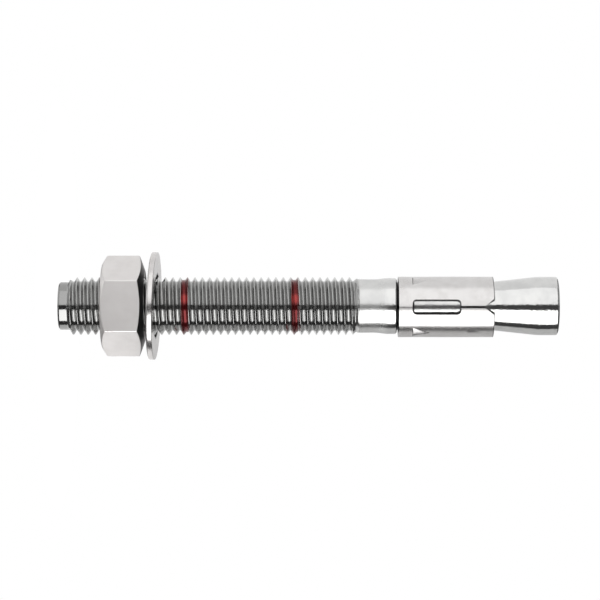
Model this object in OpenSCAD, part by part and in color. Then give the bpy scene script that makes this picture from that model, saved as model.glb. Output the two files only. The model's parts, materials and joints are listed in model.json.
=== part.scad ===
// Through-bolt wedge anchor with its expansion clip, flat washer and hex nut.
// Each piece is drawn upright round the stud's axis, in millimetres from the threaded end,
// on which the loose anchor stands, because it would roll if it lay on the washer's round rim.

/* [Stud] */
// Length of the whole stud
stud_l = 135.3; // [130:0.1:180]
// Diameter of the plain point ahead of the thread
point_d = 13; // [12.6:0.1:13.2]
// Length of the plain point
point_l = 1.9; // [1:0.1:4]
// Chamfer on the plain point
point_chamfer = 0.8; // [0.3:0.1:1.5]
// Diameter of the plain shank
shank_d = 14.5; // [14:0.1:15]
// Length of the plain shank
shank_l = 6.5; // [4:0.5:12]
// Diameter of the collar that stops the clip
collar_d = 15.2; // [14.9:0.1:15.6]
// Length of the collar, without its ramp
collar_l = 3.1; // [2.5:0.1:6]
// Length of the ramp from the shank to the collar
collar_ramp = 1; // [0.5:0.1:2]
// Rounding of the collar's edge beside the clip
collar_round = 0.6; // [0.3:0.1:1]
// Diameter of the neck under the clip
neck_d = 13; // [12.6:0.1:13.2]
// Diameter of the cone's wide end, which enters the drilled hole
cone_d = 15.86; // [15.6:0.02:15.9]
// Half angle of the cone
cone_angle = 6.3; // [5:0.1:9]
// Length of the straight land behind the cone
land_l = 5.6; // [3:0.1:9]
// Rounding of the stud's cone end
end_round = 0.6; // [0.3:0.1:1]

/* [Thread] */
// Crest diameter of the thread
thread_d = 15.7; // [15.6:0.05:16]
// Root diameter of the thread
thread_root_d = 13.4; // [13.3:0.05:13.8]
// Axial distance from crest to crest
thread_pitch = 2; // [1.5:0.25:2]
// Width of the flat on a crest
crest_flat = 0.25; // [0.15:0.05:0.4]
// Width of the flat in a root
root_flat = 0.42; // [0.2:0.02:0.5]
// Place of the first crest on the side of the stud
thread_phase = 0.59; // [0:0.01:2]
// Length over which the thread rises from the point
thread_lead = 1.4; // [0.5:0.1:3]
// Length over which the thread runs out into the shank
thread_run_out = 2.6; // [1:0.1:5]
// Steps in one turn of the thread
thread_steps = 20; // [16:4:24]

/* [Expansion clip] */
// Outer diameter of the clip, a little over the drilled hole
clip_d = 16.4; // [16.1:0.1:17]
// Thickness of the clip's sheet
clip_wall = 1.2; // [0.9:0.1:1.3]
// Length of the clip
clip_l = 25.7; // [20:0.1:32]
// Gap between the collar and the clip
clip_gap = 0.45; // [0.3:0.05:0.8]
// Least gap between the clip's cone end and the cone
cone_clearance = 0.17; // [0.1:0.01:0.2]
// How far the loose clip hangs to one side of the neck
clip_drop = 0.25; // [0:0.01:0.26]
// Number of leaves round the clip
clip_leaves = 3; // [2:1:4]
// Distance from the clip's collar end to a window
window_start = 3.9; // [3:0.1:5]
// Length of a window
window_l = 13.1; // [8:0.1:14]
// Width of a window
window_w = 4.3; // [3:0.1:5]
// Corner radius of a window
window_r = 1.3; // [0.5:0.1:1.5]
// Width of the slit that parts two leaves
slit_w = 0.5; // [0.3:0.05:0.8]
// Depth of the notch at the clip's cone end
notch_l = 2.4; // [1.5:0.1:3.5]
// Width of the notch's mouth
notch_w = 4.8; // [3:0.1:6]
// Rounding of the clip's edges
clip_edge = 0.3; // [0.1:0.05:0.4]
// Height of the pressed rib near the collar end of each leaf
rib_h = 0.4; // [0.2:0.05:0.45]
// Height of the fainter rib near the cone end of each leaf
faint_rib_h = 0.15; // [0.1:0.05:0.2]
// Width of a rib's steep end
rib_w = 4.8; // [3:0.1:5.2]
// Length of a rib
rib_l = 4.8; // [3:0.1:6]

/* [Washer] */
// Outer diameter of the washer
washer_d = 29.3; // [28.5:0.1:34]
// Bore of the washer
washer_bore = 17.2; // [17:0.1:18]
// Thickness of the washer
washer_t = 1.6; // [1.5:0.1:3]
// Rounding of the washer's edges
washer_edge = 0.3; // [0.1:0.05:0.5]
// Lean of the loose washer towards the nut on the side that the photo shows
washer_lean = 1.9; // [0:0.1:2.5]
// Lean of the loose washer to the side of that
washer_side_lean = 1.7; // [0:0.1:2.5]
// Distance from the threaded end to the washer's bearing face
bearing_at = 26.4; // [24:0.1:40]

/* [Nut] */
// Width of the nut across its flats
nut_flats = 23.8; // [23:0.1:24]
// Height of the nut
nut_h = 11.6; // [10:0.1:14]
// Diameter of the nut's end face inside the chamfer
nut_face_d = 22.6; // [21:0.1:22.8]
// Angle of the nut's chamfer from its end face
nut_chamfer_angle = 30; // [20:1:40]
// Amount taken off each corner of the hexagon
nut_corner_cut = 0.15; // [0.05:0.05:0.3]
// Width of the countersink in the nut's bore
nut_countersink = 0.7; // [0.3:0.1:1]
// Radial clearance of the nut over the thread's crests
nut_clearance = 0.15; // [0.12:0.01:0.2]
// Gap between the nut's face and the loose washer, on the stud's axis
nut_gap = 1.5; // [1.2:0.1:3]

/* [Hidden] */
$fn = 96;
steel = [0.76, 0.76, 0.75];
bright_steel = [0.84, 0.84, 0.83];
skin = 0.05;
arc_steps = 6;
spare_turns = 3;

// Places along the stud, from its threaded end
thread_start = point_l;
cone_l = (cone_d - neck_d) / 2 / tan(cone_angle);
cone_end = stud_l - land_l;
cone_start = cone_end - cone_l;
clip_end = cone_start + (clip_d / 2 - clip_wall - neck_d / 2 - clip_drop - cone_clearance) / tan(cone_angle);
clip_start = clip_end - clip_l;
neck_start = clip_start - clip_gap;
collar_start = neck_start - collar_l;
ramp_start = collar_start - collar_ramp;
shank_start = ramp_start - shank_l;
thread_end = shank_start + thread_pitch / 2;

nut_face = bearing_at - washer_t - nut_gap;

// From the upright drawing to the anchor's frame: the bearing face's centre is the origin, and the side
// that the photo shows faces -Y
module stood_up() {
    rotate([0, 0, -90])
        translate([0, 0, -bearing_at])
            children();
}

// Whether three points lie in three places
function apart(p, q, r) = p != q && q != r && r != p;

// Share of the full thread depth at a height, from 0 at either end to 1 along the thread
function thread_share(height) = min(
    1,
    max(0, (height - thread_start) / thread_lead),
    max(0, (thread_end - height) / thread_run_out)
);

// Radius at a height where the full thread would have the radius r
function thread_radius(r, height) =
    let (share = thread_share(height))
    let (bare = height < stud_l / 3 ? point_d / 2 - skin : shank_d / 2 - skin)
    r * share + bare * (1 - share);

// One solid of helical ridges: a four-point ridge profile carried up and round the axis
module thread() {
    flank = (thread_pitch - crest_flat - root_flat) / 2;
    ridge = [
        [-crest_flat / 2 - flank, thread_root_d / 2],
        [-crest_flat / 2, thread_d / 2],
        [crest_flat / 2, thread_d / 2],
        [crest_flat / 2 + flank, thread_root_d / 2]
    ];
    corners = len(ridge);
    first = thread_phase + thread_pitch * (floor(thread_start / thread_pitch) - spare_turns);
    turns = ceil((thread_end - first) / thread_pitch) + spare_turns;
    stations = turns * thread_steps;
    points = [
        for (i = [0 : stations], corner = ridge)
            let (turn = 360 * (i % thread_steps) / thread_steps - 90)
            let (height = first + thread_pitch * i / thread_steps + corner[0])
            let (kept = min(thread_end, max(thread_start, height)))
            let (r = thread_radius(corner[1], kept))
            [r * cos(turn), r * sin(turn), kept]
    ];
    triangles = [
        for (i = [0 : stations - thread_steps - 1], j = [0 : corners - 1])
            let (a = corners * i + j)
            let (b = a + corners)
            let (d = j < corners - 1 ? a + 1 : corners * (i + thread_steps))
            let (c = d + corners)
            for (t = [[a, c, b], [a, d, c]])
                if (apart(points[t[0]], points[t[1]], points[t[2]]))
                    t
    ];
    bottom = [for (i = [0 : thread_steps - 1]) corners * i];
    last = stations - thread_steps;
    top = [for (i = [thread_steps - 1 : -1 : 0]) corners * (last + i)];
    polyhedron(points, concat(triangles, [bottom, top]));
}

// Quarter-round points from one angle to another, for a rounded edge of a turned profile
function edge_arc(centre, r, from, to) =
    [
        for (k = [0 : arc_steps])
            let (angle = from + (to - from) * k / arc_steps)
            centre + r * [cos(angle), sin(angle)]
    ];

// Turned body under the thread: point, core, shank, collar, neck, cone and land
module stud_body() {
    rotate_extrude()
        polygon(concat(
            [
                [0, 0],
                [point_d / 2 - point_chamfer, 0],
                [point_d / 2, point_chamfer],
                [point_d / 2, shank_start],
                [shank_d / 2, shank_start],
                [shank_d / 2, ramp_start],
                [collar_d / 2, collar_start]
            ],
            edge_arc([collar_d / 2 - collar_round, neck_start - collar_round], collar_round, 0, 90),
            [
                [neck_d / 2, neck_start],
                [neck_d / 2, cone_start],
                [cone_d / 2, cone_end]
            ],
            edge_arc([cone_d / 2 - end_round, stud_l - end_round], end_round, 0, 90),
            [[0, stud_l]]
        ));
}

module anchor_stud() {
    color(steel)
        stood_up()
            union() {
                stud_body();
                thread();
            }
}

// Right half of one punched opening, flat, with the clip's length along Y: the window with its rounded
// corners, the slit to the cone end and the notch there, and at the seam also a slit to the collar end
function opening_half(seam) =
    let (corner = window_w / 2 - window_r)
    let (window_end = window_start + window_l)
    let (notch_past = skin * (notch_w - slit_w) / 2 / notch_l)
    concat(
        seam ? [[slit_w / 2, -skin], [slit_w / 2, window_start]] : [],
        edge_arc([corner, window_start + window_r], window_r, -90, 0),
        edge_arc([corner, window_end - window_r], window_r, 0, 90),
        [
            [slit_w / 2, window_end],
            [slit_w / 2, clip_l - notch_l],
            [notch_w / 2 + notch_past, clip_l + skin]
        ]
    );

// The whole opening, from its right half and the mirrored points in reverse order
module opening_outline(seam) {
    half = opening_half(seam);
    last = len(half) - 1;
    polygon(concat(half, [for (k = [last : -1 : 0]) [-half[k][0], half[k][1]]]));
}

// Pressed rib: a three-sided point that rises steeply at one end and runs out along the leaf
module rib(rise, start) {
    outer_r = clip_d / 2;
    foot = sqrt(outer_r * outer_r - rib_w * rib_w / 4) - skin;
    polyhedron(
        [
            [foot, -rib_w / 2, start],
            [foot, rib_w / 2, start],
            [outer_r + rise, 0, start],
            [outer_r - skin, 0, start + rib_l]
        ],
        [[0, 2, 1], [0, 3, 2], [2, 3, 1], [1, 3, 0]]
    );
}

// Ribs in the middle of every leaf, the taller ones beside the windows' collar ends, sunk by a depth
module ribs(sunk) {
    for (leaf = [0 : clip_leaves - 1])
        rotate([0, 0, (leaf + 0.5) * 360 / clip_leaves])
            translate([-sunk, 0, 0]) {
                rib(rib_h, window_start);
                rib(faint_rib_h, clip_l - notch_l - rib_l);
            }
}

// Strip of sheet, punched, ribbed and rolled round the neck with its ends meeting at one slit
module expansion_clip() {
    outer_r = clip_d / 2;
    inner_r = outer_r - clip_wall;
    color(bright_steel)
        stood_up()
            translate([0, clip_drop, clip_start])
                difference() {
                    union() {
                        rotate_extrude()
                            polygon(concat(
                                [[0, 0]],
                                edge_arc([outer_r - clip_edge, clip_edge], clip_edge, -90, 0),
                                edge_arc([outer_r - clip_edge, clip_l - clip_edge], clip_edge, 0, 90),
                                [[0, clip_l]]
                            ));
                        ribs(0);
                    }
                    translate([0, 0, -skin])
                        cylinder(r = inner_r, h = clip_l + 2 * skin);
                    ribs(clip_wall);
                    for (leaf = [0 : clip_leaves - 1])
                        rotate([0, 0, leaf * 360 / clip_leaves])
                            rotate([90, 0, 90])
                                translate([0, 0, inner_r - clip_wall])
                                    linear_extrude(3 * clip_wall)
                                        opening_outline(leaf == clip_leaves - 1);
                }
}

// Punched ring that hangs loosely on the thread and leans a little
module flat_washer() {
    rim_r = washer_d / 2 - washer_edge;
    color(bright_steel)
        stood_up()
            translate([0, 0, bearing_at])
                rotate([-washer_side_lean, washer_lean, 0])
                    translate([0, 0, -washer_t])
                        rotate_extrude()
                            polygon(concat(
                                edge_arc([rim_r, washer_edge], washer_edge, -90, 0),
                                edge_arc([rim_r, washer_t - washer_edge], washer_edge, 0, 90),
                                [[washer_bore / 2, washer_t], [washer_bore / 2, 0]]
                            ));
}

// Hexagon chamfered at both ends, with a countersunk bore that clears the thread's crests
module hex_nut() {
    bore_r = thread_d / 2 + nut_clearance;
    corner_r = nut_flats / 2 / cos(30) - nut_corner_cut;
    chamfer_h = (corner_r - nut_face_d / 2) * tan(nut_chamfer_angle);
    color(steel)
        stood_up()
            translate([0, 0, nut_face - nut_h])
                difference() {
                    intersection() {
                        rotate([0, 0, 30])
                            cylinder(d = nut_flats / cos(30), h = nut_h, $fn = 6);
                        rotate_extrude()
                            polygon([
                                [0, 0],
                                [nut_face_d / 2, 0],
                                [corner_r, chamfer_h],
                                [corner_r, nut_h - chamfer_h],
                                [nut_face_d / 2, nut_h],
                                [0, nut_h]
                            ]);
                    }
                    translate([0, 0, -skin])
                        cylinder(r = bore_r, h = nut_h + 2 * skin);
                    for (end = [0, 1])
                        translate([0, 0, end * nut_h])
                            mirror([0, 0, end])
                                translate([0, 0, -skin])
                                    cylinder(r1 = bore_r + nut_countersink + skin, r2 = bore_r - skin,
                                             h = nut_countersink + 2 * skin);
                }
}

anchor_stud();
expansion_clip();
flat_washer();
hex_nut();
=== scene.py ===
"""The looks of a stainless wedge anchor, its stud, clip, washer and nut, before a white backdrop."""

import json
import math

import bpy
import numpy as np
from mathutils import Matrix


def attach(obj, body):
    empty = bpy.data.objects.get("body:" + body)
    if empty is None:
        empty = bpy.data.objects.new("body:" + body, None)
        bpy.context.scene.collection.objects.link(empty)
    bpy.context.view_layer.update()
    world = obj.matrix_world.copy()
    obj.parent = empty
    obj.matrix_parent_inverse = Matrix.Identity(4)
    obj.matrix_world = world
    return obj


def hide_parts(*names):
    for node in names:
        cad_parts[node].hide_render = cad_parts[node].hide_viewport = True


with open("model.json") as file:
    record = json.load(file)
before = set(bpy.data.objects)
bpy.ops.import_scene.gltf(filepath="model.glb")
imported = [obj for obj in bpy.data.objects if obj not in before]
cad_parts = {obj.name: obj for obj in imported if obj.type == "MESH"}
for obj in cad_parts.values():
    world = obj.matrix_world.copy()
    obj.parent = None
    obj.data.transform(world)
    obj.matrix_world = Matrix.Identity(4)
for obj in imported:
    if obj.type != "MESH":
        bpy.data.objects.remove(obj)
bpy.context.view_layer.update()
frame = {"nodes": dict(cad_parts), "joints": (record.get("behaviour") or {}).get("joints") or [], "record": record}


# The stud: one bar of stainless steel, cold-formed and thread-rolled, with a plain point, a coarse thread,
# a drawn shank, a low collar, the neck that carries the clip, and the polished cone with its straight land.
# Two rings of red lacquer, run into the thread's grooves, mark the setting depth.

mm = 0.001
same_place = 0.0001 * mm

slide = next(joint for joint in frame["joints"] if joint["name"] == "washer_slide")
stud_along = np.array(slide["axis"]) / np.linalg.norm(slide["axis"])
front = np.array([0.0, -1.0, 0.0])


def node_reach(node, along):
    """The lowest and highest place of a solid's points along a direction."""
    vertices = frame["nodes"][node].data.vertices
    points = np.empty(len(vertices) * 3)
    vertices.foreach_get("co", points)
    places = points.reshape(-1, 3) @ along
    return places.min(), places.max()


def placed_round(base, along, distance, radius, turn):
    """Puts distances along an axis, radii and turns round it into the frame. A turn is 0 at the front and
    grows by the right-hand rule about the axis."""
    side = np.cross(along, front)
    side /= np.linalg.norm(side)
    ahead = np.cross(side, along)
    distance, radius, turn = (part[..., None] for part in np.broadcast_arrays(distance, radius, turn))
    return base + distance * along + radius * (np.cos(turn) * ahead + np.sin(turn) * side)


def rounded(corners, cuts, steps=6):
    """An outline with rounded corners: each inner corner becomes a quadratic curve that leaves one side
    and meets the next a cut's length away from it."""
    corners = np.asarray(corners, float)
    share = np.linspace(0, 1, steps).reshape((-1,) + (1,) * (corners.ndim - 1))
    rows = [corners[:1]]
    for before, corner, after, cut in zip(corners, corners[1:], corners[2:], cuts):
        start = corner + (before - corner) * cut / np.linalg.norm(before - corner, axis=-1, keepdims=True)
        end = corner + (after - corner) * cut / np.linalg.norm(after - corner, axis=-1, keepdims=True)
        rows.append((1 - share) ** 2 * start + 2 * share * (1 - share) * corner + share**2 * end)
    return np.concatenate(rows + [corners[-1:]])


def grid_faces(rows, columns, first):
    """The four-cornered faces of a grid of points, counted row by row from a first number."""
    corner = first + np.arange(rows - 1)[:, None] * columns + np.arange(columns - 1)
    return np.stack([corner, corner + 1, corner + columns + 1, corner + columns], -1).reshape(-1, 4)


def sewn_piece(name, grids):
    """A piece from grids of points: points in one place become one, and faces that this closes up go."""
    firsts = np.cumsum([0] + [grid.shape[0] * grid.shape[1] for grid in grids])
    points = np.concatenate([grid.reshape(-1, 3) for grid in grids])
    faces = np.concatenate([grid_faces(*grid.shape[:2], first) for grid, first in zip(grids, firsts)])
    places = np.round(points / same_place).astype(np.int64)
    _, kept, same = np.unique(places, axis=0, return_index=True, return_inverse=True)
    faces = same.reshape(-1)[faces]
    doubled = faces == np.roll(faces, -1, axis=1)
    four_cornered = faces[doubled.sum(1) == 0]
    one_closed = doubled.sum(1) == 1
    three_cornered = faces[one_closed][~doubled[one_closed]].reshape(-1, 3)
    mesh = bpy.data.meshes.new(name)
    mesh.from_pydata(points[kept].tolist(), [], four_cornered.tolist() + three_cornered.tolist())
    mesh.polygons.foreach_set("use_smooth", np.ones(len(mesh.polygons), bool))
    mesh.update()
    made = bpy.data.objects.new(name, mesh)
    bpy.context.scene.collection.objects.link(made)
    return made


stud_start, stud_end = node_reach("anchor_stud", stud_along)
stud_base = stud_start * stud_along
stud_length = stud_end - stud_start

point_radius = 6.5 * mm
point_length = 2.5 * mm
point_chamfer = 0.35 * mm
point_rounding = 0.15 * mm
point_last_row = 0.1 * mm
thread_pitch = 2 * mm
crest_radius = 7.85 * mm
crest_flat = 0.14 * mm
crest_rounding = 0.06 * mm
root_radius = 6.7 * mm
root_flat = 0.42 * mm
root_rounding = 0.14 * mm
thread_phase = 0.83 * mm
thread_lead = 0.9 * mm
thread_run_out = 2.6 * mm
thread_end = 81.72 * mm
spare_turns = 3
shank_radius = 7.25 * mm
ramp_start = 86.32 * mm
ramp_rounding = 0.9 * mm
collar_start = 88.92 * mm
collar_radius = 7.6 * mm
collar_rounding = 0.6 * mm
neck_start = 91.62 * mm
neck_radius = 6.5 * mm
neck_rounding = 0.1 * mm
cone_start = 116.75 * mm
cone_blend = 1.2 * mm
cone_end = 129.7 * mm
cone_radius = 7.93 * mm
land_blend = 1.0 * mm
end_rounding = 0.6 * mm
mark_places = (34.28 * mm, 63.95 * mm)
mark_half_width = 0.9 * mm
lacquer_depth = 0.42 * mm
lacquer_level = 1.6
lacquer_reach = 1.25
stud_columns = 90

stud_turns = np.linspace(0, 2 * np.pi, stud_columns + 1) - np.pi / 2


def thread_grid():
    """A rolled thread: the ridge's rounded outline, moved up by a pitch for each turn and by a share of a
    pitch for each column. Heights past the ends stop there, the depth fades towards both ends, and lacquer
    fills the grooves at the marks, level in the middle of a mark and falling away to its sides. Two more
    rows on each flank keep its shading straight."""
    curve_steps = 4
    flank_foot = (thread_pitch - root_flat) / 2
    slope = rounded(
        [
            [crest_radius, 0],
            [crest_radius, crest_flat / 2],
            [root_radius, flank_foot],
            [root_radius, thread_pitch / 2],
        ],
        [crest_rounding, root_rounding],
        curve_steps,
    )
    crest, root = slope[: curve_steps + 1], slope[curve_steps + 1 :]
    flank = crest[-1] + (root[0] - crest[-1]) * np.array([[0.1], [0.9]])
    slope = np.concatenate([crest, flank, root])
    ridge = np.concatenate([slope[::-1] * [1, -1], slope[1:-1]])
    turns = np.arange(-spare_turns, math.ceil(thread_end / thread_pitch) + spare_turns)
    heights = (thread_phase + thread_pitch * turns[:, None] + ridge[:, 1]).reshape(-1, 1)
    radii = np.tile(ridge[:, 0], len(turns)).reshape(-1, 1)
    heights = heights + thread_pitch * np.arange(stud_columns + 1) / stud_columns
    heights = np.clip(heights, point_length, thread_end)
    lead = np.clip((heights - point_length) / thread_lead, 0, 1)
    run_out = np.clip((thread_end - heights) / thread_run_out, 0, 1)
    radii = point_radius + (radii - point_radius) * lead
    radii = shank_radius + (radii - shank_radius) * run_out**2 * (3 - 2 * run_out)
    for mark in mark_places:
        off_mark = np.abs(heights - mark) / mark_half_width
        filled = root_radius + lacquer_depth * np.clip(lacquer_level - off_mark**2, 0, 1)
        radii = np.where(off_mark < lacquer_reach, np.maximum(radii, filled), radii)
    return placed_round(stud_base, stud_along, heights, radii, stud_turns)


def turned_grid(outline):
    """A turned surface: an outline of radii and distances carried round the stud's axis."""
    return placed_round(stud_base, stud_along, outline[:, 1:], outline[:, :1], stud_turns)


point_outline = rounded(
    [
        [0, 0],
        [point_radius - point_chamfer, 0],
        [point_radius, point_chamfer],
        [point_radius, point_length - point_last_row],
        [point_radius, point_length],
    ],
    [point_rounding, point_rounding, point_last_row / 2],
)
body_outline = rounded(
    [
        [shank_radius, thread_end],
        [shank_radius, ramp_start],
        [collar_radius, collar_start],
        [collar_radius, neck_start],
        [neck_radius, neck_start],
        [neck_radius, cone_start],
        [cone_radius, cone_end],
        [cone_radius, stud_length],
        [0, stud_length],
    ],
    [ramp_rounding, ramp_rounding, collar_rounding, neck_rounding, cone_blend, land_blend, end_rounding],
)
stud = sewn_piece("stud", [turned_grid(point_outline), thread_grid(), turned_grid(body_outline)])


class Wire:
    """One value in a material: a socket whose arithmetic adds Math nodes to its tree."""

    def __init__(self, socket):
        self.socket = socket

    def node(self, kind, settings, inputs, output=0):
        """Adds a node of a kind, sets its settings, then fills its sockets with values or links them."""
        made = self.socket.id_data.nodes.new(kind)
        for key, value in settings.items():
            setattr(made, key, value)
        for key, value in inputs.items():
            if isinstance(value, Wire):
                self.socket.id_data.links.new(value.socket, made.inputs[key])
            else:
                made.inputs[key].default_value = value
        return Wire(made.outputs[output])

    def math(self, operation, *values):
        """The result of a Math node on some values."""
        return self.node("ShaderNodeMath", {"operation": operation}, dict(enumerate(values)))

    def __add__(self, other):
        return self.math("ADD", self, other)

    def __radd__(self, other):
        return self.math("ADD", other, self)

    def __sub__(self, other):
        return self.math("SUBTRACT", self, other)

    def __rsub__(self, other):
        return self.math("SUBTRACT", other, self)

    def __mul__(self, other):
        return self.math("MULTIPLY", self, other)

    def __rmul__(self, other):
        return self.math("MULTIPLY", other, self)

    def __abs__(self):
        return self.math("ABSOLUTE", self)

    def root(self):
        """The square root of this value."""
        return self.math("SQRT", self)

    def between(self, low, high):
        """0 below the low value, 1 above the high one, and a smooth rise from one to the other."""
        inputs = {"Value": self, "From Min": low, "From Max": high}
        return self.node("ShaderNodeMapRange", {"interpolation_type": "SMOOTHSTEP"}, inputs)

    def noise(self, scale, detail=2.0):
        """A cloudy pattern read at this place."""
        return self.node("ShaderNodeTexNoise", {}, {"Vector": self, "Scale": scale, "Detail": detail})

    def stretched(self, scale):
        """This place with its three directions scaled apart."""
        return self.node("ShaderNodeVectorMath", {"operation": "MULTIPLY"}, {0: self, 1: scale})

    def part(self, number):
        """One of the three numbers of this place."""
        return self.node("ShaderNodeSeparateXYZ", {}, {0: self}, number)

    def colours(self, first, second):
        """The first colour where this value is 0 and the second where it is 1."""
        return self.node("ShaderNodeMix", {"data_type": "RGBA"}, {0: self, 6: first, 7: second}, 2)

    def relief(self, strength, depth):
        """A normal tipped by this value as a height."""
        return self.node("ShaderNodeBump", {}, {"Strength": strength, "Distance": depth, "Height": self})


def new_finish(name):
    """A material on a Principled shader, with that shader and the place on the piece."""
    material = bpy.data.materials.new(name)
    material.use_nodes = True
    shader = material.node_tree.nodes["Principled BSDF"]
    return material, shader, Wire(shader.outputs[0]).node("ShaderNodeTexCoord", {}, {}, "Object")


def fill(shader, **values):
    """Fills or links a shader's sockets."""
    for key, value in values.items():
        socket = shader.inputs[key.replace("_", " ")]
        if isinstance(value, Wire):
            socket.id_data.links.new(value.socket, socket)
        else:
            socket.default_value = value


def clouded(cloud, pale, dark):
    """A tone that drifts from a pale to a darker grey where a cloudy pattern is high."""
    return cloud.between(0.35, 0.7).colours(pale, dark)


def off_axis(place, across=0.0):
    """Distance of a place from an upright axis."""
    x, y = place.part(0) - across, place.part(1)
    return (x * x + y * y).root()


stud_grey = (0.71, 0.71, 0.70, 1)
stud_dark_grey = (0.64, 0.64, 0.635, 1)
# Painted shade for the thread's grooves.
groove_shade_grey = (0.405, 0.405, 0.40, 1)
point_grey = (0.34, 0.34, 0.335, 1)
# Near-black painted shade for the neck under the clip.
neck_shade_grey = (0.03, 0.03, 0.03, 1)
# The lighter red is a painted highlight on the lacquer. The darker red is its own colour.
lacquer_highlight_red = (0.36, 0.045, 0.042, 1)
lacquer_dark_red = (0.13, 0.008, 0.009, 1)
point_fade = 0.3 * mm
thread_fade = 1.2 * mm
crest_depth = 0.5 * mm
crest_full = 0.02 * mm
# Share of the grooves' painted shade that the crests are spared.
crest_unshaded_share = 0.8
shank_fade = 1.5 * mm
shank_dull_end = 86.22 * mm
neck_fade = 0.5 * mm
cone_fade = 1.0 * mm
# These lengths place the neck's painted shade under the clip's band and slit.
neck_shade_fade = 0.15 * mm
shade_before_neck = 0.25 * mm
shade_under_band = 4.65 * mm
shade_under_slit = 16.95 * mm
shade_before_cone = 1.6 * mm
lacquer_raggedness = 0.2 * mm
lacquer_full_half = mark_half_width * 0.8
lacquer_end_half = mark_half_width * 1.3
# A painted highlight lies on the lacquer along this strip beside the stud's middle.
lacquer_highlight_side = -2.0 * mm
lacquer_highlight_half = 0.5 * mm
lacquer_highlight_fade_half = 1.7 * mm

stud_finish, shader, place = new_finish("rolled_stainless")
distance = place.part(2) - float(stud_start)


def past(start, end):
    """0 before a stretch of the stud and 1 after it, with a smooth rise along it."""
    return distance.between(start, end)


def on_stretch(start, end, fade):
    """1 along a stretch of the stud, fading to 0 inside its two ends."""
    return past(start, start + fade) * (1 - past(end - fade, end))


# The point is darker than the crests and the thread's grooves carry painted shade, the shank is duller than
# the cone, and painted shade makes the neck darkest under the clip's band and slit.
on_point = 1 - past(point_length - point_fade, point_length)
on_thread = 1 - past(thread_end - thread_fade, thread_end)
on_crest = off_axis(place).between(crest_radius - crest_depth, crest_radius - crest_full)
on_shank = past(thread_end - shank_fade, thread_end) * (1 - past(shank_dull_end, neck_start))
on_neck = on_stretch(neck_start, cone_start, neck_fade)
on_cone = past(cone_start - cone_fade, cone_start)
# Where the neck's painted shade lies: under the clip's band and under its slit.
under_band = on_stretch(neck_start - shade_before_neck, neck_start + shade_under_band, neck_shade_fade)
under_slit = on_stretch(neck_start + shade_under_slit, cone_start - shade_before_cone, neck_shade_fade)

cloud = place.noise(260.0, 4.0)
grain = place.noise(9000.0)
ripples = place.noise(1300.0)
drawn_lines = place.stretched((4200.0, 4200.0, 30.0)).noise(1.0, 3.0)
steel = clouded(cloud, stud_grey, stud_dark_grey)
# Painted shade in the thread's grooves, lighter on the crests.
steel = (on_thread * (1 - on_crest * crest_unshaded_share)).colours(steel, groove_shade_grey)
steel = on_point.colours(steel, point_grey)
# Painted shade on the neck under the clip's band and slit.
steel = (under_band + under_slit).colours(steel, neck_shade_grey)

# The lacquer has ragged edges, and a painted highlight lightens it along one strip beside the stud's middle.
ragged = distance + (place.noise(1200.0, 3.0) - 0.5) * lacquer_raggedness
lacquer = sum(1 - abs(ragged - mark).between(lacquer_full_half, lacquer_end_half) for mark in mark_places)
# Mask of the painted highlight: 0 along the strip and 1 away from it.
off_highlight = abs(place.part(0) - lacquer_highlight_side).between(lacquer_highlight_half, lacquer_highlight_fade_half)

fill(
    shader,
    Base_Color=lacquer.colours(steel, off_highlight.colours(lacquer_highlight_red, lacquer_dark_red)),
    Metallic=1 - lacquer * 0.3,
    Roughness=0.11 + cloud * 0.05 + on_shank * 0.15 + on_neck * 0.05 - on_cone * 0.02,
    Coat_Weight=lacquer * 0.15,
    Coat_Roughness=0.08,
    Normal=(grain * 0.4 + drawn_lines * 0.6 + ripples * 8.0).relief(strength=0.06, depth=0.05 * mm),
)
stud.data.materials.append(stud_finish)
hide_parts("anchor_stud")
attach(stud, "stud")


# The expansion clip: a strip of stainless sheet, punched with three windows, each with a slit and a notch
# towards the cone, pressed with pointed ribs and rolled into a sleeve. It hangs loosely round the stud's
# neck, and its play lets it lie a little nearer the cone than the solid does.

leaf_count = 3
seam_leaf = 1
clip_radius = 8.2 * mm
clip_wall = 1.2 * mm
clip_play = 0.3 * mm
window_start = 3.6 * mm
window_end = 16.7 * mm
window_half = 2.15 * mm
window_corner = 1.3 * mm
slit_half = 0.25 * mm
notch_depth = 2.4 * mm
notch_half = 2.4 * mm
tooth_round = 0.3 * mm
rib_start = 3.9 * mm
rib_height = 0.72 * mm
faint_rib_height = 0.15 * mm
rib_half = 2.2 * mm
rib_length = 4.8 * mm
rib_step = 0.2 * mm
edge_slope = 0.085
edge_reach = 1.6 * mm
edge_rounding = 0.16 * mm
edge_angle = math.radians(65)
wave_height = 0.02 * mm
wave_radian = 3.1 * mm
waves_round = 2

leaf_arc = 2 * np.pi * clip_radius / leaf_count
clip_joint = next(joint for joint in frame["joints"] if joint["name"] == "clip_turn")
clip_start, clip_end = (reach + clip_play for reach in node_reach("expansion_clip", stud_along))
clip_length = clip_end - clip_start
clip_axis_point = np.array(clip_joint["pos_m"])
clip_base = clip_axis_point + (clip_start - clip_axis_point @ stud_along) * stud_along


def window_edge(v):
    """How far a window reaches to one side of its middle line: its half width, less the fall of a quarter
    circle near either end."""
    near_start, near_end = window_start + window_corner - v, v - window_end + window_corner
    into_corner = np.maximum(0, np.maximum(near_start, near_end))
    return window_half - window_corner + np.sqrt(np.maximum(0, window_corner**2 - into_corner**2))


def slit_edge(v):
    """Half the width of a slit: even at first, then widening straight into the notch, with a quarter circle
    at its end that rounds the tooth beside it."""
    open_share = np.clip((v - clip_length + notch_depth) / notch_depth, 0, 1)
    rounding = np.clip((v - clip_length + tooth_round) / tooth_round, 0, 1)
    return slit_half + (notch_half - slit_half) * open_share + tooth_round * (1 - np.sqrt(1 - rounding**2))


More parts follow.
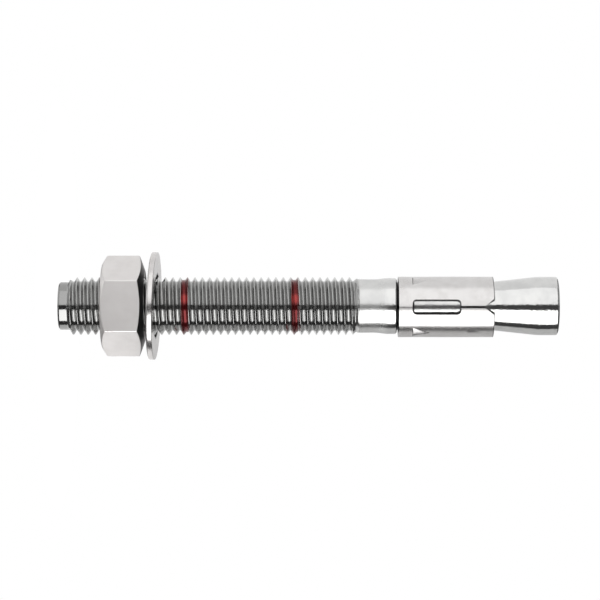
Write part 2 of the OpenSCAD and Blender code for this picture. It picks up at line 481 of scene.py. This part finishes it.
def rib_rise(s, v):
    """Height of the pressed ribs: each rises in a steep step, then falls evenly along the leaf and to both
    sides of its middle line, so that it ends in a point."""
    rise = 0
    faint_start = clip_length - notch_depth - rib_length
    for height, start in ((rib_height, rib_start), (faint_rib_height, faint_start)):
        steep = np.clip((v - start + rib_step) / rib_step, 0, 1)
        slope = 1 - np.maximum(0, v - start) / rib_length - np.abs(s - leaf_arc / 2) / rib_half
        rise = rise + height * steep * np.clip(slope, 0, 1)
    return rise


def leaf_grids(leaf):
    """One leaf in three flat grids: the closed band, the part beside its windows and the part beside its
    slits. Columns share their places where two grids meet, and rows crowd at corners and rib ends."""
    shoulder = window_half - window_corner
    middle = np.linspace(shoulder, leaf_arc - shoulder, 65)
    quarter = np.linspace(0, np.pi / 2, 9)

    def with_ends(left, right):
        """The middle columns with a few more towards two edges."""
        return np.concatenate([
            np.linspace(left, shoulder, 6)[:-1],
            middle,
            np.linspace(leaf_arc - shoulder, leaf_arc - right, 6)[1:],
        ])

    band_s = with_ends(slit_half if leaf == seam_leaf + 1 else 0, slit_half if leaf == seam_leaf else 0)
    band_v = np.linspace(0, window_start, 16)[:, None]

    corner_steps = window_corner * (1 - np.cos(quarter))
    beside_v = np.unique(np.concatenate([
        window_start + corner_steps,
        np.linspace(rib_start - rib_step, rib_start, 5),
        np.linspace(window_start + window_corner, window_end - window_corner, 40),
        window_end - corner_steps,
    ]))[:, None]
    beside_share = (middle - shoulder) / (leaf_arc - 2 * shoulder)
    beside_edge = window_edge(beside_v)

    tooth_v = np.unique(np.concatenate([
        np.linspace(window_end, clip_length - notch_depth, 24),
        np.linspace(clip_length - notch_depth, clip_length - tooth_round, 10),
        clip_length - tooth_round + tooth_round * np.sin(np.linspace(0, np.pi / 2, 7)),
    ]))[:, None]
    tooth_share = (with_ends(slit_half, slit_half) - slit_half) / (leaf_arc - 2 * slit_half)
    tooth_edge = slit_edge(tooth_v)

    return [
        (band_s + 0 * band_v, band_v),
        (beside_edge + (leaf_arc - 2 * beside_edge) * beside_share, beside_v),
        (tooth_edge + (leaf_arc - 2 * tooth_edge) * tooth_share, tooth_v),
    ]


def rolled(leaf, s, v):
    """Rolls flat places of a leaf round the clip's axis. The radius gains the ribs, a slight sine wave, and
    a rise that dies away from each side of the leaf, where the sheet springs back and is flatter."""
    turn = leaf * 2 * np.pi / leaf_count + s / clip_radius
    wave = wave_height * np.sin(waves_round * turn + v / wave_radian) * np.sin(np.pi * v / clip_length)
    flatter = edge_slope * edge_reach * np.exp(-np.minimum(s, leaf_arc - s) / edge_reach)
    return placed_round(clip_base, stud_along, v, clip_radius + rib_rise(s, v) + wave + flatter, turn)


clip = sewn_piece("clip", [rolled(leaf, s, v) for leaf in range(leaf_count) for s, v in leaf_grids(leaf)])
sheet = clip.modifiers.new("sheet", "SOLIDIFY")
sheet.thickness = clip_wall
sheet.offset = -1
edges = clip.modifiers.new("edges", "BEVEL")
edges.width = edge_rounding
edges.segments = 3
edges.angle_limit = edge_angle

clip_grey = (0.72, 0.707, 0.70, 1)
clip_dark_grey = (0.67, 0.654, 0.646, 1)
# Near-black painted shade, used on the clip and in the washer's bore.
painted_shade_grey = (0.06, 0.06, 0.06, 1)
inner_shade_depth = 0.4 * mm
skin_depth = 0.12 * mm
sheared_length = 0.3 * mm
sheared_shade = 0.8
steep_shade = 0.9

clip_finish, shader, place = new_finish("rolled_sheet")
cloud = place.noise(320.0, 4.0)
drawn_lines = place.stretched((3200.0, 3200.0, 60.0)).noise(1.0, 3.0)

# Painted shade darkens the sheet's inside, its sheared and punched edges, and faces turned along the axis.
clip_across = float(clip_axis_point[0])
outside = off_axis(place, clip_across).between(clip_radius - inner_shade_depth, clip_radius - skin_depth)
sheared = (place.part(2) - float(clip_end)).between(-sheared_length, -skin_depth)
steep = abs(place.node("ShaderNodeTexCoord", {}, {}, "Normal").part(2)).between(0.3, 0.6)
# Painted shade on the inside, the end and the steep faces.
bright = outside * (1 - sheared * sheared_shade) * (1 - steep * steep_shade)
fill(
    shader,
    Base_Color=bright.colours(painted_shade_grey, clouded(cloud, clip_grey, clip_dark_grey)),
    Metallic=1.0,
    Roughness=0.24 + cloud * 0.05,
    Normal=(place.noise(7000.0) * 0.4 + drawn_lines * 0.6).relief(strength=0.05, depth=0.05 * mm),
)
clip.data.materials.append(clip_finish)
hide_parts("expansion_clip")
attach(clip, "clip")


# The washer: a ring punched from stainless sheet and tumbled, so that its edges are soft. It hangs loosely
# on the thread and leans a little.

washer_face = next(mount for mount in frame["record"]["mounts"] if mount["name"] == "washer_face")
washer_along = np.array(washer_face["axis"]) / np.linalg.norm(washer_face["axis"])
washer_radius = 14.65 * mm
washer_bore = 8.6 * mm
washer_thickness = 1.6 * mm
washer_edge = 0.2 * mm
washer_back_edge = 0.4 * mm

washer_outline = rounded(
    [
        [washer_bore, -washer_thickness / 2],
        [washer_bore, -washer_thickness],
        [washer_radius, -washer_thickness],
        [washer_radius, 0],
        [washer_bore, 0],
        [washer_bore, -washer_thickness / 2],
    ],
    [washer_edge, washer_back_edge, washer_edge, washer_edge],
)
washer_turns = np.linspace(0, 2 * np.pi, 193)
washer_grid = placed_round(
    np.array(washer_face["pos_m"]), washer_along, washer_outline[:, 1:], washer_outline[:, :1], washer_turns
)
washer = sewn_piece("washer", [washer_grid])

washer_grey = (0.72, 0.70, 0.692, 1)
washer_dark_grey = (0.66, 0.638, 0.63, 1)
# How far the bore's painted shade reaches onto the faces.
bore_shade_reach = 0.3 * mm
bore_fade = 0.3 * mm

# Painted shade darkens the punched bore and the edge round it.
washer_finish, shader, place = new_finish("tumbled_sheet")
cloud = place.noise(300.0, 4.0)
bore_end = washer_bore + bore_shade_reach
beyond_bore = off_axis(place).between(bore_end, bore_end + bore_fade)
fill(
    shader,
    Base_Color=beyond_bore.colours(painted_shade_grey, clouded(cloud, washer_grey, washer_dark_grey)),
    Metallic=1.0,
    Roughness=0.19 + cloud * 0.06,
    Normal=place.noise(6000.0).relief(strength=0.05, depth=0.05 * mm),
)
washer.data.materials.append(washer_finish)
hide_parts("flat_washer")
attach(washer, "washer")


# The nut: a cold-formed hexagon of stainless steel with a satin skin, chamfered ends, softened corners and a
# countersunk bore. It runs on the stud's thread, between the washer and the point.

nut_start, nut_end = node_reach("hex_nut", stud_along)
nut_base = nut_start * stud_along
nut_height = nut_end - nut_start
nut_apothem = 11.9 * mm
nut_corner = 0.35 * mm
nut_face_radius = 11.3 * mm
nut_chamfer = math.radians(30)
nut_back_radius = 9.6 * mm
nut_back_chamfer = math.radians(20)
nut_edge = 0.2 * mm
nut_bore = 8.0 * mm
nut_countersink = 0.7 * mm
countersink_edge = 0.15 * mm
bore_edge = 0.1 * mm


def hexagon_radius(turn):
    """Distance from the axis to a hexagon with rounded corners: straight along each flat, then an arc."""
    off_flat = np.abs((turn + np.pi / 6) % (np.pi / 3) - np.pi / 6)
    off_corner = np.pi / 6 - off_flat
    arc_centre = (nut_apothem - nut_corner) / math.cos(np.pi / 6)
    arc_start = math.atan(arc_centre * math.sin(np.pi / 6) / nut_apothem)
    arc_half = np.maximum(0, nut_corner**2 - (arc_centre * np.sin(off_corner)) ** 2)
    arc = arc_centre * np.cos(off_corner) + np.sqrt(arc_half)
    return np.where(off_flat > arc_start, arc, nut_apothem / np.cos(off_flat))


# Columns, in degrees, crowd at each corner of the hexagon and spread along its flats.
corner_turns = np.array([30, 29.75, 29.5, 29.25])
flat_turns = np.concatenate([-corner_turns, np.linspace(-28.8, 28.8, 23), corner_turns[:0:-1]])
nut_turns = np.radians(np.concatenate([flat_turns + 60 * flat for flat in range(6)] + [[330.0]]))
side_radius = hexagon_radius(nut_turns)
chamfer_height = (side_radius - nut_face_radius) * math.tan(nut_chamfer)
back_height = (side_radius - nut_back_radius) * math.tan(nut_back_chamfer)
ones = np.ones_like(nut_turns)
nut_corners = np.array([
    [nut_bore * ones, nut_height / 2 * ones],
    [nut_bore * ones, nut_countersink * ones],
    [(nut_bore + nut_countersink) * ones, 0 * ones],
    [nut_face_radius * ones, 0 * ones],
    [side_radius, chamfer_height],
    [side_radius, nut_height - back_height],
    [nut_back_radius * ones, nut_height * ones],
    [(nut_bore + nut_countersink) * ones, nut_height * ones],
    [nut_bore * ones, (nut_height - nut_countersink) * ones],
    [nut_bore * ones, nut_height / 2 * ones],
]).transpose(0, 2, 1)
nut_cuts = [bore_edge, countersink_edge] + [nut_edge] * 4 + [countersink_edge, bore_edge]
nut_rows = rounded(nut_corners, nut_cuts)
nut = sewn_piece("nut", [placed_round(nut_base, stud_along, nut_rows[..., 1], nut_rows[..., 0], nut_turns)])

nut_grey = (0.95, 0.92, 0.905, 1)
nut_dark_grey = (0.90, 0.868, 0.853, 1)
# Near-black painted shade for the face towards the washer.
nut_back_shade_grey = (0.05, 0.05, 0.05, 1)

# Painted shade darkens the face towards the washer and the flat chamfer round it.
nut_finish, shader, place = new_finish("cold_formed_stainless")
cloud = place.noise(220.0, 4.0)
on_back_shade = place.node("ShaderNodeTexCoord", {}, {}, "Normal").part(2).between(0.6, 0.85)
fill(
    shader,
    Base_Color=on_back_shade.colours(clouded(cloud, nut_grey, nut_dark_grey), nut_back_shade_grey),
    Metallic=0.6,
    Roughness=0.29 + cloud * 0.06,
    Normal=place.noise(5200.0, 3.0).relief(strength=0.08, depth=0.06 * mm),
)
nut.data.materials.append(nut_finish)
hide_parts("hex_nut")
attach(nut, "nut")


# The studio: the anchor stands on a small white plate before a curved white backdrop. Two soft boxes leave a
# dark slot round the camera, which is turned on its side and looks square at the stud.

aim_distance = 65.4 * mm
aim_side = 1.63 * mm
plate_radius = 55 * mm
plate_drop = 0.05 * mm
backdrop_radius = 640 * mm
backdrop_half_length = 320 * mm
backdrop_turns = np.radians(np.linspace(104, 283, 80))
paper_white = (0.85, 0.85, 0.85, 1)
foot_end = -60 * mm
foot_fade_end = 40 * mm
side_fade = 200 * mm
box_distance = 750 * mm
box_length = 560 * mm
camera_distance = 663 * mm
view_width_pixels = 600
focal_pixels = 2438

side = np.cross(stud_along, front)
aim = stud_base + aim_distance * stud_along - aim_side * side


def put(name, data, right, above, where):
    """An object with its own right and upper directions at a place."""
    made = bpy.data.objects.new(name, data)
    turn = np.eye(4)
    turn[:3] = np.stack([right, above, np.cross(right, above), where], -1)
    made.matrix_world = Matrix(turn.tolist())
    bpy.context.scene.collection.objects.link(made)
    return made


def paper(piece, white, camera_share, upper_share, lower_share, foot_share):
    """White paper that glows by a share and takes the rest of its light, and so the anchor's shadow, from
    the lamps. The camera sees it glow by one share, up to a level of white. The metal sees it glow by
    another share on one side of the anchor, by a third on the other, and by a fourth there at its foot."""
    material, shader, place = new_finish(piece.name)
    fill(shader, Base_Color=paper_white, Roughness=1.0)
    surface = Wire(shader.outputs[0])
    seen = surface.node("ShaderNodeLightPath", {}, {}, "Is Camera Ray")
    mirrored = surface.node("ShaderNodeLightPath", {}, {}, "Is Glossy Ray")
    through = surface.node("ShaderNodeLightPath", {}, {}, "Is Transmission Ray")
    glow = surface.node("ShaderNodeEmission", {}, {"Color": (1, 1, 1, 1), "Strength": white})
    lower = place.part(2).between(foot_end, foot_fade_end) * (lower_share - foot_share) + foot_share
    mirrored_share = place.part(0).between(-side_fade, side_fade) * (lower - upper_share) + upper_share
    share = seen * camera_share + (mirrored + through) * mirrored_share
    mixed = surface.node("ShaderNodeMixShader", {}, {0: share, 1: surface, 2: glow})
    output = material.node_tree.nodes["Material Output"]
    material.node_tree.links.new(mixed.socket, output.inputs["Surface"])
    piece.data.materials.append(material)


def soft_box(name, tilt, half_angle, radiance):
    """A flat lamp beside the slot, turned round the stud from the camera and spanning an angle each way."""
    lamp = bpy.data.lights.new(name, "AREA")
    lamp.shape = "RECTANGLE"
    lamp.size = box_length
    lamp.size_y = 2 * box_distance * math.tan(half_angle)
    lamp.energy = radiance * math.pi * lamp.size * lamp.size_y
    outward = math.cos(tilt) * front + math.sin(tilt) * side
    made = put(name, lamp, stud_along, np.cross(outward, stud_along), aim + box_distance * outward)
    made.visible_camera = False


plate_radii = np.array([[plate_radius], [0]])
plate = sewn_piece("plate", [placed_round(stud_base, stud_along, -plate_drop, plate_radii, washer_turns)])
paper(plate, white=1.27, camera_share=0.75, upper_share=0.5, lower_share=0.5, foot_share=0.5)
plate.visible_glossy = False

backdrop_steps = np.array([-backdrop_half_length, backdrop_half_length])[:, None]
backdrop_grid = placed_round(aim, stud_along, backdrop_steps, backdrop_radius, backdrop_turns)
backdrop = sewn_piece("backdrop", [backdrop_grid])
paper(backdrop, white=1.0, camera_share=1.0, upper_share=0.86, lower_share=0.22, foot_share=1.0)

soft_box("bright_box", tilt=math.radians(47.5), half_angle=math.radians(29.5), radiance=2.7)
soft_box("dim_box", tilt=math.radians(-41.25), half_angle=math.radians(35.75), radiance=1.2)

# The camera sees a white sky. The metal sees a dim one that is brighter past the stud's two ends, apart
# from the dark slot and from the lower side.
sky_dim = 0.05
cone_end_glow = 0.35
point_end_glow = 0.9
ends_from = 0.3
ends_full = 0.75
slot_middle = 0.015
slot_half = 0.03
slot_fade_end = 0.075
lower_side_start = 0.03
lower_side_full = 0.2
lower_side_shade = 0.9

world = bpy.data.worlds.new("studio")
bpy.context.scene.world = world
world.use_nodes = True
background = world.node_tree.nodes["Background"]
background.inputs["Color"].default_value = (1, 1, 1, 1)
sky = Wire(background.outputs[0])
seen = sky.node("ShaderNodeLightPath", {}, {}, "Is Camera Ray")
direction = sky.node("ShaderNodeTexCoord", {}, {}, "Generated")
across, height = direction.part(0), direction.part(2)
cone_glow = height.between(ends_from, ends_full) * cone_end_glow
point_glow = (0 - height).between(ends_from, ends_full) * point_end_glow
beside_slot = abs(across - slot_middle).between(slot_half, slot_fade_end)
lower_side = across.between(lower_side_start, lower_side_full)
glow = sky_dim + (cone_glow + point_glow) * beside_slot * (1 - lower_side * lower_side_shade)
strength = seen + (1 - seen) * glow
world.node_tree.links.new(strength.socket, background.inputs["Strength"])

camera_data = bpy.data.cameras.new("camera")
camera_data.sensor_fit = "HORIZONTAL"
camera_data.angle = 2 * math.atan(view_width_pixels / 2 / focal_pixels)
camera_data.clip_start = 10 * mm
bpy.context.scene.camera = put("camera", camera_data, stud_along, -side, aim + camera_distance * front)

bpy.context.scene.view_settings.view_transform = "Standard"
